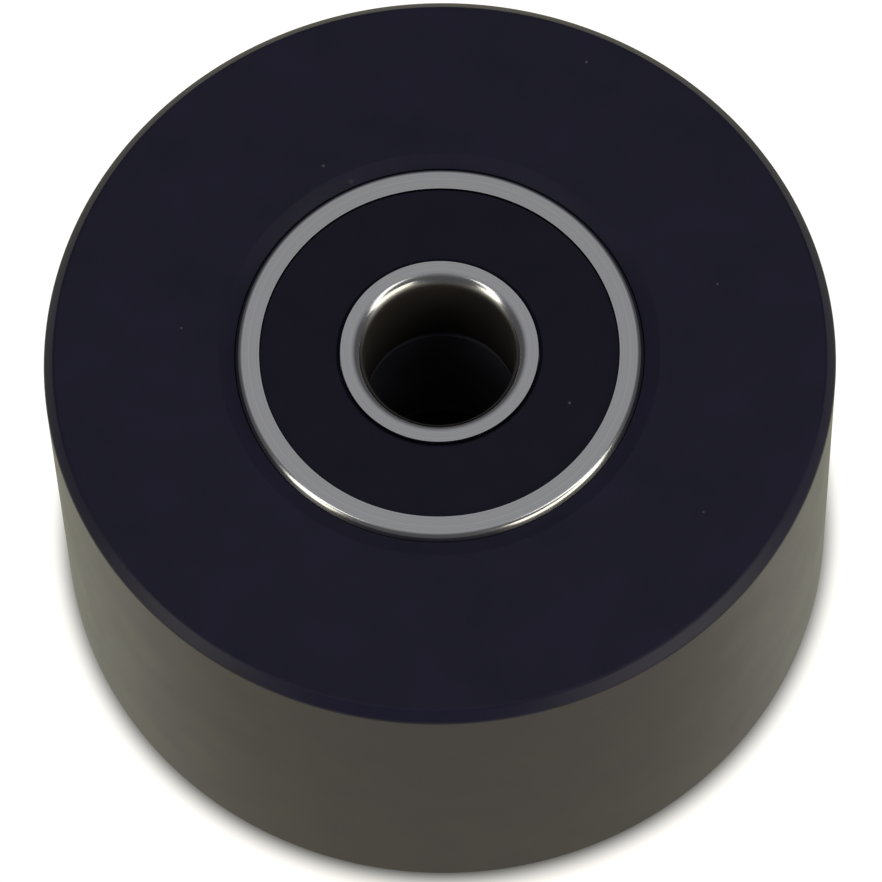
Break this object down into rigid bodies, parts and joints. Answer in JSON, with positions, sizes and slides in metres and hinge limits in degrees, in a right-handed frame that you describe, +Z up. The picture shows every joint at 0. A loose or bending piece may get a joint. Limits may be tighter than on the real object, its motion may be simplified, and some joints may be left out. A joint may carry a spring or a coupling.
{
  "type": "chain roller",
  "caption": "Round polymer roller on sealed ball bearings in both ends, with a through bore for its bolt; it guides or tensions the slack run of a drive chain.",
  "frame": {"origin": "centre of the lower end, on the plane of the lower bearing's outside face", "axes": "+Z up along the bolt's axis; +X passes through the first ball of each bearing at rest"},
  "size_m": [0.042, 0.042, 0.0232],
  "materials": {
    "body_polymer": "satin black polymer, faint turning marks on the end faces",
    "bearing_steel": "ground bearing steel with polished corners",
    "seal_rubber": "matte black moulded rubber",
    "ball_steel": "polished bearing steel",
    "cage_steel": "pressed steel strip, dull",
    "sleeve_steel": "turned steel with a matte black skin against rust"
  },
  "bodies": {
    "hub": {"spacer_sleeve": "sleeve_steel", "upper_inner_ring": "bearing_steel", "lower_inner_ring": "bearing_steel"},
    "roller": {"roller_body": "body_polymer", "upper_outer_ring": "bearing_steel", "upper_face_seal": "seal_rubber", "upper_back_seal": "seal_rubber", "lower_outer_ring": "bearing_steel", "lower_face_seal": "seal_rubber", "lower_back_seal": "seal_rubber"},
    "upper_cage": {"upper_cage_top_half": "cage_steel", "upper_cage_bottom_half": "cage_steel", "upper_cage_rivets": "cage_steel"},
    "upper_ball_1": {"upper_ball_1": "ball_steel"},
    "upper_ball_2": {"upper_ball_2": "ball_steel"},
    "upper_ball_3": {"upper_ball_3": "ball_steel"},
    "upper_ball_4": {"upper_ball_4": "ball_steel"},
    "upper_ball_5": {"upper_ball_5": "ball_steel"},
    "upper_ball_6": {"upper_ball_6": "ball_steel"},
    "upper_ball_7": {"upper_ball_7": "ball_steel"},
    "lower_cage": {"lower_cage_top_half": "cage_steel", "lower_cage_bottom_half": "cage_steel", "lower_cage_rivets": "cage_steel"},
    "lower_ball_1": {"lower_ball_1": "ball_steel"},
    "lower_ball_2": {"lower_ball_2": "ball_steel"},
    "lower_ball_3": {"lower_ball_3": "ball_steel"},
    "lower_ball_4": {"lower_ball_4": "ball_steel"},
    "lower_ball_5": {"lower_ball_5": "ball_steel"},
    "lower_ball_6": {"lower_ball_6": "ball_steel"},
    "lower_ball_7": {"lower_ball_7": "ball_steel"}
  },
  "joints": [
    {"name": "roller_spin", "type": "hinge", "parent": "hub", "child": "roller", "pos_m": [0, 0, 0.0116], "axis": [0, 0, 1], "continuous": true},
    {"name": "upper_cage_orbit", "type": "hinge", "parent": "hub", "child": "upper_cage", "pos_m": [0, 0, 0.0197], "axis": [0, 0, 1], "continuous": true},
    {"name": "upper_ball_1_spin", "type": "hinge", "parent": "upper_cage", "child": "upper_ball_1", "pos_m": [0.0075, 0, 0.0197], "axis": [0, 0, 1], "continuous": true},
    {"name": "upper_ball_2_spin", "type": "hinge", "parent": "upper_cage", "child": "upper_ball_2", "pos_m": [0.00468, 0.00586, 0.0197], "axis": [0, 0, 1], "continuous": true},
    {"name": "upper_ball_3_spin", "type": "hinge", "parent": "upper_cage", "child": "upper_ball_3", "pos_m": [-0.00167, 0.00731, 0.0197], "axis": [0, 0, 1], "continuous": true},
    {"name": "upper_ball_4_spin", "type": "hinge", "parent": "upper_cage", "child": "upper_ball_4", "pos_m": [-0.00676, 0.00325, 0.0197], "axis": [0, 0, 1], "continuous": true},
    {"name": "upper_ball_5_spin", "type": "hinge", "parent": "upper_cage", "child": "upper_ball_5", "pos_m": [-0.00676, -0.00325, 0.0197], "axis": [0, 0, 1], "continuous": true},
    {"name": "upper_ball_6_spin", "type": "hinge", "parent": "upper_cage", "child": "upper_ball_6", "pos_m": [-0.00167, -0.00731, 0.0197], "axis": [0, 0, 1], "continuous": true},
    {"name": "upper_ball_7_spin", "type": "hinge", "parent": "upper_cage", "child": "upper_ball_7", "pos_m": [0.00468, -0.00586, 0.0197], "axis": [0, 0, 1], "continuous": true},
    {"name": "lower_cage_orbit", "type": "hinge", "parent": "hub", "child": "lower_cage", "pos_m": [0, 0, 0.0035], "axis": [0, 0, 1], "continuous": true},
    {"name": "lower_ball_1_spin", "type": "hinge", "parent": "lower_cage", "child": "lower_ball_1", "pos_m": [0.0075, 0, 0.0035], "axis": [0, 0, 1], "continuous": true},
    {"name": "lower_ball_2_spin", "type": "hinge", "parent": "lower_cage", "child": "lower_ball_2", "pos_m": [0.00468, 0.00586, 0.0035], "axis": [0, 0, 1], "continuous": true},
    {"name": "lower_ball_3_spin", "type": "hinge", "parent": "lower_cage", "child": "lower_ball_3", "pos_m": [-0.00167, 0.00731, 0.0035], "axis": [0, 0, 1], "continuous": true},
    {"name": "lower_ball_4_spin", "type": "hinge", "parent": "lower_cage", "child": "lower_ball_4", "pos_m": [-0.00676, 0.00325, 0.0035], "axis": [0, 0, 1], "continuous": true},
    {"name": "lower_ball_5_spin", "type": "hinge", "parent": "lower_cage", "child": "lower_ball_5", "pos_m": [-0.00676, -0.00325, 0.0035], "axis": [0, 0, 1], "continuous": true},
    {"name": "lower_ball_6_spin", "type": "hinge", "parent": "lower_cage", "child": "lower_ball_6", "pos_m": [-0.00167, -0.00731, 0.0035], "axis": [0, 0, 1], "continuous": true},
    {"name": "lower_ball_7_spin", "type": "hinge", "parent": "lower_cage", "child": "lower_ball_7", "pos_m": [0.00468, -0.00586, 0.0035], "axis": [0, 0, 1], "continuous": true}
  ],
  "couplings": [
    {"joint": "upper_cage_orbit", "follows": "roller_spin", "ratio": 0.6323},
    {"joint": "upper_ball_1_spin", "follows": "roller_spin", "ratio": 1.7573},
    {"joint": "upper_ball_2_spin", "follows": "roller_spin", "ratio": 1.7573},
    {"joint": "upper_ball_3_spin", "follows": "roller_spin", "ratio": 1.7573},
    {"joint": "upper_ball_4_spin", "follows": "roller_spin", "ratio": 1.7573},
    {"joint": "upper_ball_5_spin", "follows": "roller_spin", "ratio": 1.7573},
    {"joint": "upper_ball_6_spin", "follows": "roller_spin", "ratio": 1.7573},
    {"joint": "upper_ball_7_spin", "follows": "roller_spin", "ratio": 1.7573},
    {"joint": "lower_cage_orbit", "follows": "roller_spin", "ratio": 0.6323},
    {"joint": "lower_ball_1_spin", "follows": "roller_spin", "ratio": 1.7573},
    {"joint": "lower_ball_2_spin", "follows": "roller_spin", "ratio": 1.7573},
    {"joint": "lower_ball_3_spin", "follows": "roller_spin", "ratio": 1.7573},
    {"joint": "lower_ball_4_spin", "follows": "roller_spin", "ratio": 1.7573},
    {"joint": "lower_ball_5_spin", "follows": "roller_spin", "ratio": 1.7573},
    {"joint": "lower_ball_6_spin", "follows": "roller_spin", "ratio": 1.7573},
    {"joint": "lower_ball_7_spin", "follows": "roller_spin", "ratio": 1.7573}
  ]
}
